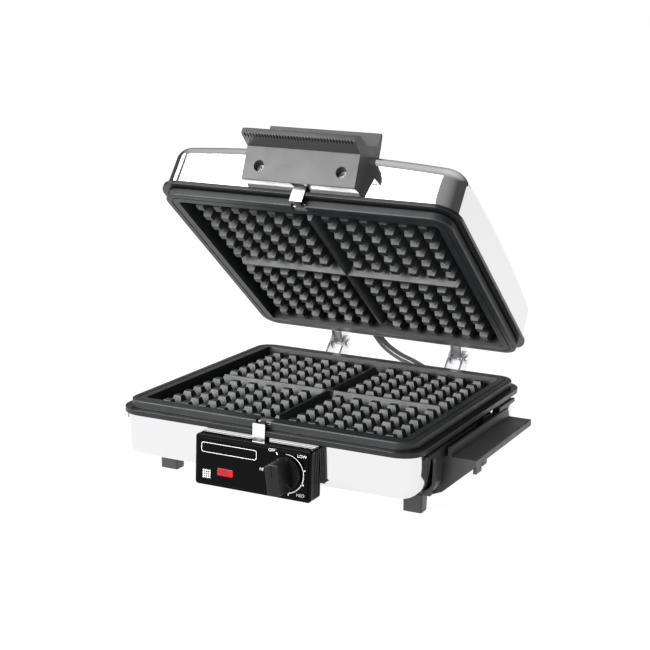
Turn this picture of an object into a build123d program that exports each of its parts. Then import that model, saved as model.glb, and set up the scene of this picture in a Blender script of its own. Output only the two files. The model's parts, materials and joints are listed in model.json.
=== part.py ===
from build123d import *
import math
import os

os.makedirs("parts", exist_ok=True)

# A four-square waffle maker, in millimetres. X is left to right, Y is front to back and Z is up.
# The origin is on the table, under the middle of the cooking plates. Each half is laid out from its
# own parting plane, and a depth is measured from that plane into the half.

# ---------------------------------------------------------------- driving dimensions
PLATE_WIDTH = 235.3
PLATE_LENGTH = 227.6
PLATE_CORNER = 14.0
SMALLEST_CORNER = 1.5
PARTING_HEIGHT = 64.0
CLOSED_GAP = 0.6

LID_OPEN_ANGLE = 35.88
HINGE_Y = 142.9
HINGE_RISE = 2.4
HINGE_X = 56.0

# cast cooking plates
FLANGE_THICKNESS = 3.2
SKIRT_THICKNESS = 2.6
SKIRT_DEPTH = 5.8
RIM_WIDTH = 11.0
RIM_GROOVE_INSET = 4.6
RIM_GROOVE_WIDTH = 1.0
RIM_GROOVE_DEPTH = 0.5
CAVITY_DEPTH = 11.2
CAVITY_DRAFT = 8.0
FLOOR_THICKNESS = 2.5
POST_PITCH = 15.5
POSTS_PER_SIDE = 6
INNER_POST = 14.7
POST_BASE = 11.6
POST_DRAFT = 17.0
POST_HEIGHT = 9.5
RIDGE_BASE = 10.4
RIDGE_DRAFT = 24.0
RIDGE_LENGTH = 196.0
EDGE_ROUND = 1.2

# frames between the plates and the chrome shells
LIP_OVERHANG = 5.3
LOWER_LIP_TOP = 6.0
LOWER_LIP_BOTTOM = 10.4
UPPER_LIP_TOP = 7.0
UPPER_LIP_BOTTOM = 10.2
FRAME_NECK_INSET = 3.0
FRAME_INNER_INSET = 8.0
FRAME_LEDGE_DEPTH = 14.0

# heater and reflector under each plate
ELEMENT_DEPTH = 17.4
ELEMENT_RADIUS = 3.2
ELEMENT_BEND = 14.0
ELEMENT_END_Y = 92.0
TERMINAL_X = 15.0
REFLECTOR_INSET = 13.0
REFLECTOR_DEPTH = 21.5
SHEET = 0.8

# chrome shells
SHELL_OUTSET = 2.6
BASE_DRAFT = 3.5
BASE_BOTTOM_DEPTH = 43.5
BASE_BOTTOM_ROUND = 9.0
BOTTOM_OPENING_X = 192.0
BOTTOM_OPENING_Y = 184.0
LID_DRAFT = 0.3
LID_CROWN_HEIGHT = 54.5
LID_CROWN_RADIUS = 1250.0
LID_EDGE_ROUND = 11.0

# sprung clips that hold the plates down at the front
CLIP_WIDTH = 10.0
CLIP_SHEET = 0.9
CLIP_REACH = 11.5
CLIP_NECK_WIDTH = 5.0
CLIP_HEAD_LENGTH = 2.8
CLIP_HOOK_TOP = 0.9
CLIP_HOOK_TIP = 0.3
CLIP_NOTCH_DEPTH = 2.3
CLIP_PIVOT_DEPTH = 23.0
CLIP_PIN_RADIUS = 1.2
CLIP_EYE_RADIUS = 2.6
CLIP_PIN_GRIP = 3.0
CLIP_SIDE_GAP = 0.6
CLIP_SWING = 3.5
CLIP_POCKET_DEPTH = CLIP_PIVOT_DEPTH + 4.0
CLIP_LIP_GAP = 0.3
CLIP_FRONT = -PLATE_LENGTH / 2 - LIP_OVERHANG - CLIP_LIP_GAP - CLIP_SHEET
CLIP_PIVOT_Y = CLIP_FRONT + CLIP_SHEET - CLIP_EYE_RADIUS
CLIP_NOTCH_LENGTH = CLIP_FRONT + CLIP_REACH + PLATE_LENGTH / 2 + 0.5

# control panel, dial and knob
PANEL_HALF_WIDTH = 47.2
PANEL_FRONT = -129.0
PANEL_BACK = -113.0
PANEL_TOP_DEPTH = 12.5
PANEL_BOTTOM_DEPTH = 51.0
PANEL_WALL = 2.6
PANEL_CORNER = 2.5
DIAL_THICKNESS = 1.0
DIAL_X = 27.3
DIAL_DEPTH = 31.2
KNOB_FRONT = -150.0
KNOB_BACK = -130.6
KNOB_DISC = 4.0
KNOB_RADIUS = 12.4
GRIP_WIDTH = 12.6
KNOB_TILT = 10.0
SHAFT_RADIUS = 3.0
SHAFT_FRONT = -146.0
SHAFT_REAR = -96.0
BUSH_RADIUS = 4.5
RUNNING_CLEARANCE = 0.05
THERMOSTAT_FRONT = -111.8
THERMOSTAT_LENGTH = 17.0
THERMOSTAT_BUSH = 7.0
THERMOSTAT_TAB = 8.0
NUT_BACK = -115.7
LAMP_LENGTH = 8.0
LENS_X = -21.5
LENS_DEPTH = 38.75
LENS_WIDTH = 13.0
LENS_HEIGHT = 5.6

# side rails, side handles and feet
RAIL_INNER_X = 120.4
RAIL_OUTER_X = 122.9
RAIL_TOP = 13.0
RAIL_BOTTOM = 46.6
RAIL_THICKNESS = 3.0
RAIL_HALF_LENGTH = 80.0
RAIL_STRIP_HALF_LENGTH = 97.0
RAIL_STRIP_BOTTOM = 16.0
RAIL_WINDOW_ROUND = 7.0
RAIL_INNER_ROUND = 7.5
RAIL_OUTER_ROUND = 10.0
RAIL_FLANGE_X = 93.0
HANDLE_OUTER_X = 147.5
HANDLE_HALF_LENGTH = 65.0
HANDLE_LIP_X = 126.0
HANDLE_FLANGE_X = 116.4
HANDLE_FLANGE_HALF_LENGTH = 72.0
HANDLE_TAB_Y = 56.75
HANDLE_TAB_LENGTH = 11.5
HANDLE_TAB_DEPTH = 6.0
SHELF_TOP = 20.0
SHELF_THICKNESS = 2.6
FASCIA_BOTTOM = 25.0
GUSSET_THICKNESS = 4.0
HANDLE_BOTTOM = 50.0
FOOT_X = 103.1
FOOT_Y = 67.0
FOOT_WIDTH = 15.2
FOOT_LENGTH = 12.0
FOOT_DRAFT = 1.5

# lid handle
LID_HANDLE_HALF_WIDTH = 46.0
WING_FRONT = -148.2
WING_TOP = 45.6
WING_BOTTOM = 38.7
SERRATION_PITCH = 2.4
SERRATIONS = 37
HANDLE_SCREW_X = 33.5
HANDLE_SCREW_HEIGHT = 23.0
HANDLE_SCREW_SEAT = -121.5
HANDLE_SCREW_RADIUS = 2.0

# hinges: the lid's arms turn inside the base's brackets
HINGE_FOOT_Y = PLATE_LENGTH / 2 + SHELL_OUTSET
HINGE_FOOT_DEPTH = 27.0
HINGE_FOOT_LENGTH = 18.0
EAR_SHEET = 1.6
BRACKET_SPREAD = 5.6
BRACKET_RADIUS = 7.1
BRACKET_WEB = 18.0
ARM_SPREAD = 3.2
ARM_RADIUS = 6.0
ARM_WEB = 28.5
PIN_RADIUS = 2.5

# fasteners and cable entries
SCREW_RADIUS = 1.5
SIDE_SCREW_X = 107.0
SIDE_SCREW_PITCH = 70.0
COVER_SCREW_X = 120.0
COVER_SCREW_Y = 190.0
GLAND_X = -36.0
GLAND_DEPTH = 28.0
GLAND_NECK = 6.0
GLAND_BORE = 3.6
CONDUIT_BUSH_NECK = 5.4
BUSH_STANDOFF = 0.6
BUSH_FLANGE = 2.0
BUSH_REACH = 4.0
BUSH_GRIP = 2.2
BUSH_NUT = 3.0

# conduit that carries the wires from the base to the lid
CONDUIT_RADIUS = 3.75
CONDUIT_BORE = 2.6
CONDUIT_LID_X = -26.0
CONDUIT_LID_HEIGHT = 21.8
CONDUIT_BASE_X = 38.0
CONDUIT_BASE_DEPTH = 22.0

# wiring inside the base
COVER_SHEET = 1.0
TERMINAL_BLOCK_X = -20.0
TERMINAL_BLOCK_Y = 62.0
WIRE_RADIUS = 1.3

# ---------------------------------------------------------------- planes
# The lid turns about the hinge pins. OPEN_LID is its parting plane as it stands, with its normal
# towards the top of the lid, and LID_FACE is the same plane looking out of the upper plate.
# BASE_SIDE and LID_SIDE are the middle sections: first axis to the rear, second axis up, in the
# directions that the half has when the lid is closed.
BASE_FACE = Plane(origin=(0, 0, PARTING_HEIGHT))
BASE_SIDE = Plane(origin=BASE_FACE.origin, x_dir=BASE_FACE.y_dir, z_dir=BASE_FACE.x_dir)
HINGE = Location((0, HINGE_Y, PARTING_HEIGHT + HINGE_RISE), (-LID_OPEN_ANGLE, 0, 0))
OPEN_LID = Plane(HINGE * Location((0, -HINGE_Y, CLOSED_GAP - HINGE_RISE)))
LID_FACE = Plane(origin=OPEN_LID.origin, x_dir=-OPEN_LID.x_dir, z_dir=-OPEN_LID.z_dir)
LID_SIDE = Plane(origin=OPEN_LID.origin, x_dir=OPEN_LID.y_dir, z_dir=OPEN_LID.x_dir)


# ---------------------------------------------------------------- shared helpers
def save(part, name):
    part.label = name
    export_step(part, f"parts/{name}.step")


def outline(inset=0.0, mode=Mode.ADD):
    """The rounded rectangle that both halves share, drawn in by an inset or out if it is negative."""
    corner = max(PLATE_CORNER - inset, SMALLEST_CORNER)
    RectangleRounded(PLATE_WIDTH - 2 * inset, PLATE_LENGTH - 2 * inset, corner, mode=mode)


def along(plane):
    """The axis along a plane's normal, for sorting faces and edges."""
    return Axis(plane.origin, plane.z_dir)


def shifted(plane, x, y, z):
    """The same plane with its origin moved in its own directions."""
    return Plane(origin=plane.from_local_coords((x, y, z)), x_dir=plane.x_dir, z_dir=plane.z_dir)


def section_of(face):
    """The middle section of a half: first axis to the rear, second axis out of the parting plane."""
    return Plane(origin=face.origin, x_dir=face.y_dir, z_dir=face.x_dir)


def panel_plane(y):
    """A plane facing the front, with its second axis up from the base's parting plane."""
    return Plane(origin=(0, y, PARTING_HEIGHT), x_dir=(1, 0, 0), z_dir=(0, -1, 0))


# ---------------------------------------------------------------- parts that both halves have
def cooking_plate(face):
    """A cast grid plate: a skirted flange, a tapered pan, pyramid posts and a cross ridge."""
    quadrant = INNER_POST + POST_PITCH * (POSTS_PER_SIDE - 1) / 2
    with BuildPart() as plate:
        with BuildSketch(face):
            outline()
        extrude(amount=-FLANGE_THICKNESS)
        fillet(plate.faces().sort_by(along(face))[-1].outer_wire().edges(), EDGE_ROUND)
        with BuildSketch(face.offset(-FLANGE_THICKNESS)):
            outline()
            outline(SKIRT_THICKNESS, Mode.SUBTRACT)
        extrude(amount=FLANGE_THICKNESS - SKIRT_DEPTH)
        with BuildSketch(face.offset(-FLANGE_THICKNESS)):
            outline(RIM_WIDTH - FLOOR_THICKNESS)
        extrude(amount=FLANGE_THICKNESS - CAVITY_DEPTH - FLOOR_THICKNESS, taper=CAVITY_DRAFT)
        with BuildSketch(face):
            outline(RIM_WIDTH)
        extrude(amount=-CAVITY_DEPTH, taper=CAVITY_DRAFT, mode=Mode.SUBTRACT)
        with BuildSketch(face):
            outline(RIM_GROOVE_INSET)
            outline(RIM_GROOVE_INSET + RIM_GROOVE_WIDTH, Mode.SUBTRACT)
        extrude(amount=-RIM_GROOVE_DEPTH, mode=Mode.SUBTRACT)
        with BuildSketch(face.offset(-CAVITY_DEPTH)):
            with GridLocations(2 * quadrant, 2 * quadrant, 2, 2):
                with GridLocations(POST_PITCH, POST_PITCH, POSTS_PER_SIDE, POSTS_PER_SIDE):
                    Rectangle(POST_BASE, POST_BASE)
        extrude(amount=POST_HEIGHT, taper=POST_DRAFT)
        with BuildSketch(face.offset(-CAVITY_DEPTH)):
            Rectangle(RIDGE_LENGTH, RIDGE_BASE)
            Rectangle(RIDGE_BASE, RIDGE_LENGTH - PLATE_WIDTH + PLATE_LENGTH)
        extrude(amount=POST_HEIGHT, taper=RIDGE_DRAFT)
        with BuildSketch(shifted(face, 0, -PLATE_LENGTH / 2, 0)):
            Rectangle(CLIP_WIDTH + 2, 2 * CLIP_NOTCH_LENGTH)
        extrude(amount=-CLIP_NOTCH_DEPTH, mode=Mode.SUBTRACT)
    return plate.part


def rim_frame(face, lip_top, lip_bottom):
    """The black frame that carries a plate: an outer lip, a neck under the flange and a ledge."""
    with BuildPart() as frame:
        with BuildSketch(face.offset(-lip_top)):
            outline(-LIP_OVERHANG)
            outline(FRAME_INNER_INSET, Mode.SUBTRACT)
        extrude(amount=lip_top - lip_bottom)
        lip_faces = frame.faces().sort_by(along(face))
        lip_edges = lip_faces[0].outer_wire().edges() + lip_faces[-1].outer_wire().edges()
        fillet(lip_edges, EDGE_ROUND / 2)
        with BuildSketch(face.offset(-FLANGE_THICKNESS)):
            outline(FRAME_NECK_INSET)
            outline(FRAME_INNER_INSET, Mode.SUBTRACT)
        extrude(amount=FLANGE_THICKNESS - FRAME_LEDGE_DEPTH)
    return frame.part


def heating_element(face):
    """The bent tubular heater, lying under the floor of a plate."""
    with BuildPart() as heater:
        with BuildLine(face.offset(-ELEMENT_DEPTH)) as path:
            FilletPolyline(
                (-TERMINAL_X, ELEMENT_END_Y),
                (-TERMINAL_X, 74),
                (-90, 74),
                (-90, -80),
                (-42, -80),
                (-42, 28),
                (42, 28),
                (42, -80),
                (90, -80),
                (90, 74),
                (TERMINAL_X, 74),
                (TERMINAL_X, ELEMENT_END_Y),
                radius=ELEMENT_BEND,
            )
        with BuildSketch(Plane(origin=path.line @ 0, z_dir=path.line % 0)):
            Circle(ELEMENT_RADIUS)
        sweep()
    return heater.part


def element_terminals(face):
    """Two ceramic sleeves with cold pins, where the heater's ends pass the reflector."""
    across = Plane(
        origin=face.from_local_coords((0, ELEMENT_END_Y, -ELEMENT_DEPTH)),
        x_dir=face.x_dir,
        z_dir=face.y_dir,
    )
    with BuildPart() as terminals:
        with BuildSketch(across):
            with Locations((-TERMINAL_X, 0), (TERMINAL_X, 0)):
                Circle(3.6)
        extrude(amount=10)
        with BuildSketch(across.offset(10)):
            with Locations((-TERMINAL_X, 0), (TERMINAL_X, 0)):
                Circle(1.6)
        extrude(amount=5)
    return terminals.part


def reflector(face):
    """The bright tray behind the heater, hung from the frame's ledge by its flange."""
    with BuildPart() as tray:
        with BuildSketch(face.offset(-FRAME_LEDGE_DEPTH)):
            outline(FRAME_NECK_INSET + 1)
            outline(REFLECTOR_INSET + SHEET, Mode.SUBTRACT)
        extrude(amount=-SHEET)
        with BuildSketch(face.offset(-FRAME_LEDGE_DEPTH)):
            outline(REFLECTOR_INSET)
            outline(REFLECTOR_INSET + SHEET, Mode.SUBTRACT)
        extrude(amount=FRAME_LEDGE_DEPTH - REFLECTOR_DEPTH)
        with BuildSketch(face.offset(-REFLECTOR_DEPTH)):
            outline(REFLECTOR_INSET)
        extrude(amount=-SHEET)
        with BuildSketch(shifted(face, 0, PLATE_LENGTH / 2 - REFLECTOR_INSET, -FRAME_LEDGE_DEPTH)):
            with Locations((-TERMINAL_X, 4), (TERMINAL_X, 4)):
                Rectangle(11, 13)
        extrude(amount=FRAME_LEDGE_DEPTH - REFLECTOR_DEPTH, mode=Mode.SUBTRACT)
    return tray.part


def plate_clip(face):
    """A bent strip: an eye on the pin, a spring leaf, a narrow neck and a T-shaped hook."""
    leaf_back = CLIP_FRONT + CLIP_SHEET
    hook_back = CLIP_FRONT + CLIP_REACH
    hook_under = -CLIP_HOOK_TOP - CLIP_SHEET
    with BuildPart() as clip:
        with BuildSketch(section_of(face)):
            with BuildLine():
                Polyline(
                    (CLIP_FRONT, -CLIP_PIVOT_DEPTH),
                    (CLIP_FRONT, -CLIP_HOOK_TOP),
                    (hook_back, -CLIP_HOOK_TOP),
                    (hook_back, hook_under - CLIP_HOOK_TIP),
                    (hook_back - CLIP_SHEET, hook_under - CLIP_HOOK_TIP),
                    (hook_back - CLIP_SHEET, hook_under),
                    (leaf_back, hook_under),
                    (leaf_back, -CLIP_PIVOT_DEPTH),
                    close=True,
                )
            make_face()
            with Locations((CLIP_PIVOT_Y, -CLIP_PIVOT_DEPTH)):
                Circle(CLIP_EYE_RADIUS)
                Circle(CLIP_PIN_RADIUS + RUNNING_CLEARANCE, mode=Mode.SUBTRACT)
        extrude(amount=CLIP_WIDTH / 2, both=True)
        neck_cut = (CLIP_WIDTH - CLIP_NECK_WIDTH) / 2
        neck_length = CLIP_REACH - CLIP_SHEET - CLIP_HEAD_LENGTH
        with BuildSketch(face.offset(-CLIP_HOOK_TOP)):
            with Locations((0, leaf_back + neck_length / 2)):
                with GridLocations(CLIP_WIDTH - neck_cut, 1, 2, 1):
                    Rectangle(neck_cut, neck_length)
        extrude(amount=-CLIP_SHEET, mode=Mode.SUBTRACT)
    return clip.part


def clip_pin(face):
    """The pin that a plate clip turns on, held in the moulding around it."""
    with BuildPart() as pin:
        with BuildSketch(section_of(face)):
            with Locations((CLIP_PIVOT_Y, -CLIP_PIVOT_DEPTH)):
                Circle(CLIP_PIN_RADIUS)
        extrude(amount=CLIP_WIDTH / 2 + CLIP_PIN_GRIP + CLIP_SIDE_GAP, both=True)
    return pin.part


def clip_pocket(face):
    """The room that a plate clip needs in the moulding in front of it, with its pin's hole."""
    with BuildPart() as pocket:
        with BuildSketch(section_of(face)):
            with Locations((CLIP_PIVOT_Y - CLIP_SWING, -CLIP_POCKET_DEPTH)):
                Rectangle(CLIP_SWING + 8, CLIP_POCKET_DEPTH + 20, align=(Align.MIN, Align.MIN))
        extrude(amount=CLIP_WIDTH / 2 + CLIP_SIDE_GAP, both=True)
        with BuildSketch(section_of(face)):
            with Locations((CLIP_PIVOT_Y, -CLIP_PIVOT_DEPTH)):
                Circle(CLIP_PIN_RADIUS)
        extrude(amount=CLIP_WIDTH / 2 + CLIP_PIN_GRIP + CLIP_SIDE_GAP, both=True)
    return pocket.part


HALVES = (
    ("lower", BASE_FACE, LOWER_LIP_TOP, LOWER_LIP_BOTTOM),
    ("upper", LID_FACE, UPPER_LIP_TOP, UPPER_LIP_BOTTOM),
)
for half, face, lip_top, lip_bottom in HALVES:
    save(cooking_plate(face), f"{half}_grid_plate")
    save(rim_frame(face, lip_top, lip_bottom), f"{half}_frame")
    save(heating_element(face), f"{half}_heating_element")
    save(element_terminals(face), f"{half}_element_terminals")
    save(reflector(face), f"{half}_reflector")
    save(plate_clip(face), f"{half}_plate_clip")
    save(clip_pin(face), f"{half}_clip_pin")


# ---------------------------------------------------------------- base shell and bottom cover
def base_block(inset=0.0):
    """The solid that the base shell is drawn over, shrunk by an inset on its walls and floor."""
    height = BASE_BOTTOM_DEPTH - LOWER_LIP_BOTTOM - inset
    with BuildPart() as block:
        with BuildSketch(BASE_FACE.offset(-LOWER_LIP_BOTTOM)):
            outline(inset - SHELL_OUTSET)
        extrude(amount=-height, taper=BASE_DRAFT)
        fillet(block.faces().sort_by(Axis.Z)[0].edges(), BASE_BOTTOM_ROUND - inset)
    return block.part


with BuildPart() as base_shell:
    add(base_block())
    add(base_block(SHEET), mode=Mode.SUBTRACT)
    with BuildSketch(BASE_FACE.offset(-BASE_BOTTOM_DEPTH)):
        RectangleRounded(BOTTOM_OPENING_X, BOTTOM_OPENING_Y, 12)
    extrude(amount=SHEET, mode=Mode.SUBTRACT)
    with BuildSketch(BASE_FACE.offset(-BASE_BOTTOM_DEPTH)):
        with GridLocations(COVER_SCREW_X, COVER_SCREW_Y, 2, 2):
            Circle(SCREW_RADIUS)
        with GridLocations(2 * SIDE_SCREW_X, SIDE_SCREW_PITCH, 2, 2):
            Circle(SCREW_RADIUS)
    extrude(amount=SHEET, mode=Mode.SUBTRACT)
    with BuildSketch(panel_plane(KNOB_FRONT)):
        with Locations((DIAL_X, -DIAL_DEPTH)):
            Circle(BUSH_RADIUS)
        with Locations((LENS_X, -LENS_DEPTH + 6)):
            Circle(4)
    extrude(amount=-60, mode=Mode.SUBTRACT)
    with BuildSketch(panel_plane(PLATE_LENGTH / 2)):
        with Locations((CONDUIT_BASE_X, -CONDUIT_BASE_DEPTH)):
            Circle(CONDUIT_BUSH_NECK)
        with Locations((GLAND_X, -GLAND_DEPTH)):
            Circle(GLAND_NECK)
    extrude(amount=12, both=True, mode=Mode.SUBTRACT)
save(base_shell.part, "base_shell")

with BuildPart() as base_bottom_cover:
    with BuildSketch(BASE_FACE.offset(SHEET - BASE_BOTTOM_DEPTH)):
        RectangleRounded(BOTTOM_OPENING_X + 12, BOTTOM_OPENING_Y + 13, 14)
        with GridLocations(COVER_SCREW_X, COVER_SCREW_Y, 2, 2):
            Circle(SCREW_RADIUS, mode=Mode.SUBTRACT)
        with GridLocations(60, 14, 2, 8):
            SlotOverall(40, 4, mode=Mode.SUBTRACT)
    extrude(amount=COVER_SHEET)
save(base_bottom_cover.part, "base_bottom_cover")

with BuildPart() as bottom_cover_screws:
    with BuildSketch(BASE_FACE.offset(-BASE_BOTTOM_DEPTH)):
        with GridLocations(COVER_SCREW_X, COVER_SCREW_Y, 2, 2):
            Circle(2 * SCREW_RADIUS)
    extrude(amount=-1.6)
    with BuildSketch(BASE_FACE.offset(-BASE_BOTTOM_DEPTH)):
        with GridLocations(COVER_SCREW_X, COVER_SCREW_Y, 2, 2):
            Circle(SCREW_RADIUS)
    extrude(amount=4)
    with BuildSketch(BASE_FACE.offset(-BASE_BOTTOM_DEPTH - 1.6)):
        with GridLocations(COVER_SCREW_X, COVER_SCREW_Y, 2, 2):
            Rectangle(3.6, 0.8)
            Rectangle(0.8, 3.6)
    extrude(amount=0.8, mode=Mode.SUBTRACT)
save(bottom_cover_screws.part, "bottom_cover_screws")


# ---------------------------------------------------------------- side rails, side handles, feet
def side_section(sign):
    """The front view of one side: first axis outwards, second axis up from the parting plane."""
    return Plane(
        origin=(0, 0, PARTING_HEIGHT), x_dir=(sign, 0, 0), z_dir=(0, -sign, 0)
    )


def side_screw_holes(sign):
    """Cuts the holes of one side's two screws out of the part in hand."""
    with Locations((sign * SIDE_SCREW_X, 0, PARTING_HEIGHT - RAIL_BOTTOM)):
        with GridLocations(1, SIDE_SCREW_PITCH, 1, 2):
            Cylinder(SCREW_RADIUS, 12, mode=Mode.SUBTRACT)


def side_rail(sign):
    """A plastic rail that hugs the shell's side and hooks under its bottom edge."""
    section = side_section(sign)
    with BuildPart() as rail:
        with BuildSketch(section):
            with BuildLine():
                Polyline(
                    (RAIL_INNER_X, -RAIL_TOP),
                    (RAIL_OUTER_X, -RAIL_TOP),
                    (RAIL_OUTER_X, -RAIL_BOTTOM),
                    (RAIL_FLANGE_X, -RAIL_BOTTOM),
                    (RAIL_FLANGE_X, RAIL_THICKNESS - RAIL_BOTTOM),
                    (RAIL_INNER_X, RAIL_THICKNESS - RAIL_BOTTOM),
                    close=True,
                )
            make_face()
        extrude(amount=RAIL_STRIP_HALF_LENGTH, both=True)
        for x, depth, radius in (
            (RAIL_INNER_X, RAIL_BOTTOM - RAIL_THICKNESS, RAIL_INNER_ROUND),
            (RAIL_OUTER_X, RAIL_BOTTOM, RAIL_OUTER_ROUND),
        ):
            corner = section.from_local_coords((x, -depth, 0))
            fillet(rail.edges().filter_by(Axis.Y).sort_by_distance(corner)[0], radius)
        side_screw_holes(sign)
        with BuildSketch(BASE_SIDE.offset(sign * RAIL_FLANGE_X)) as end_cuts:
            for end in (-1, 1):
                with Locations((end * (RAIL_HALF_LENGTH + 20), -RAIL_STRIP_BOTTOM - 20)):
                    Rectangle(40, 40)
            top_corners = end_cuts.vertices().group_by(Axis.Y)[-1].sort_by(Axis.X)[1:3]
            fillet(top_corners, RAIL_WINDOW_ROUND)
        extrude(amount=sign * 40, mode=Mode.SUBTRACT)
        with BuildSketch(BASE_SIDE.offset(sign * RAIL_INNER_X)):
            with Locations((-14, -RAIL_TOP)):
                Rectangle(76, 18)
            with Locations((48, -RAIL_TOP - 4)):
                Rectangle(22, 8)
        extrude(amount=RAIL_THICKNESS, both=True, mode=Mode.SUBTRACT)
    return rail.part


def side_handle(sign):
    """A shelf with a raised inner lip, carried by two gussets over a flange under the rail."""
    section = side_section(sign)
    with BuildPart() as handle:
        with BuildSketch(section):
            with BuildLine():
                Polyline(
                    (RAIL_OUTER_X + 0.1, -SHELF_TOP - SHELF_THICKNESS),
                    (RAIL_OUTER_X + 0.1, -SHELF_TOP),
                    (HANDLE_LIP_X, -SHELF_TOP),
                    (HANDLE_LIP_X, -SHELF_TOP + 6.5),
                    (HANDLE_LIP_X + 2, -SHELF_TOP + 6.5),
                    (HANDLE_LIP_X + 3.2, -SHELF_TOP),
                    (HANDLE_OUTER_X, -SHELF_TOP),
                    (HANDLE_OUTER_X, -FASCIA_BOTTOM),
                    (HANDLE_OUTER_X - 2.5, -FASCIA_BOTTOM),
                    (HANDLE_OUTER_X - 2.5, -SHELF_TOP - SHELF_THICKNESS),
                    close=True,
                )
            make_face()
        extrude(amount=HANDLE_HALF_LENGTH, both=True)
        for end in (-1, 1):
            with BuildSketch(section.offset(end * (HANDLE_HALF_LENGTH - GUSSET_THICKNESS / 2))):
                with BuildLine():
                    Polyline(
                        (HANDLE_OUTER_X, -SHELF_TOP - 0.4),
                        (HANDLE_OUTER_X, -FASCIA_BOTTOM),
                        (123.0, -47.4),
                        (117.0, -HANDLE_BOTTOM),
                        (RAIL_FLANGE_X, -HANDLE_BOTTOM),
                        (RAIL_FLANGE_X, -SHELF_TOP - 0.4),
                        close=True,
                    )
                make_face()
                with Locations((RAIL_OUTER_X + 0.4, -RAIL_BOTTOM)):
                    RectangleRounded(
                        60, 60, RAIL_OUTER_ROUND, align=(Align.MAX, Align.MIN), mode=Mode.SUBTRACT
                    )
            extrude(amount=GUSSET_THICKNESS / 2, both=True)
        with BuildSketch(section.offset(sign * HANDLE_TAB_Y)):
            with Locations((HANDLE_OUTER_X - 1.25, -FASCIA_BOTTOM - HANDLE_TAB_DEPTH / 2)):
                Rectangle(2.5, HANDLE_TAB_DEPTH)
        extrude(amount=HANDLE_TAB_LENGTH / 2, both=True)
        with BuildSketch(BASE_FACE.offset(-HANDLE_BOTTOM)):
            with Locations((sign * (RAIL_FLANGE_X + HANDLE_FLANGE_X) / 2, 0)):
                Rectangle(HANDLE_FLANGE_X - RAIL_FLANGE_X, 2 * HANDLE_FLANGE_HALF_LENGTH)
        extrude(amount=HANDLE_BOTTOM - RAIL_BOTTOM)
        outer_edges = handle.edges().group_by(Axis((0, 0, 0), (sign, 0, 0)))[-1].filter_by(Axis.Y)
        fillet(outer_edges.group_by(Axis.Z)[-1], 0.8)
        side_screw_holes(sign)
    return handle.part


def foot(x, y):
    """A tapered block under a side handle's flange."""
    with BuildPart() as block:
        with BuildSketch(BASE_FACE.offset(-HANDLE_BOTTOM)):
            with Locations((x, y)):
                RectangleRounded(FOOT_WIDTH, FOOT_LENGTH, 1.5)
        extrude(amount=HANDLE_BOTTOM - PARTING_HEIGHT, taper=FOOT_DRAFT)
    return block.part


def side_screws(sign):
    """Two screws that hold a side handle and its rail to the shell's bottom edge."""
    with BuildPart() as screws:
        with Locations((sign * SIDE_SCREW_X, 0, PARTING_HEIGHT - HANDLE_BOTTOM)):
            with GridLocations(1, SIDE_SCREW_PITCH, 1, 2):
                Cylinder(SCREW_RADIUS, 9.5, align=(Align.CENTER, Align.CENTER, Align.MIN))
                Cylinder(2 * SCREW_RADIUS, 1.8, align=(Align.CENTER, Align.CENTER, Align.MAX))
                with Locations((0, 0, -1.8)):
                    Box(3.6, 0.8, 1.6, mode=Mode.SUBTRACT)
                    Box(0.8, 3.6, 1.6, mode=Mode.SUBTRACT)
    return screws.part


for name, sign in (("right", 1), ("left", -1)):
    save(side_screws(sign), f"{name}_side_screws")
    save(side_rail(sign), f"{name}_side_rail")
    save(side_handle(sign), f"{name}_side_handle")
    save(foot(sign * FOOT_X, -FOOT_Y), f"front_{name}_foot")
    save(foot(sign * FOOT_X, FOOT_Y), f"rear_{name}_foot")


# ---------------------------------------------------------------- control panel
PANEL_HEIGHT = PANEL_BOTTOM_DEPTH - PANEL_TOP_DEPTH
PANEL_MIDDLE = -(PANEL_BOTTOM_DEPTH + PANEL_TOP_DEPTH) / 2

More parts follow.
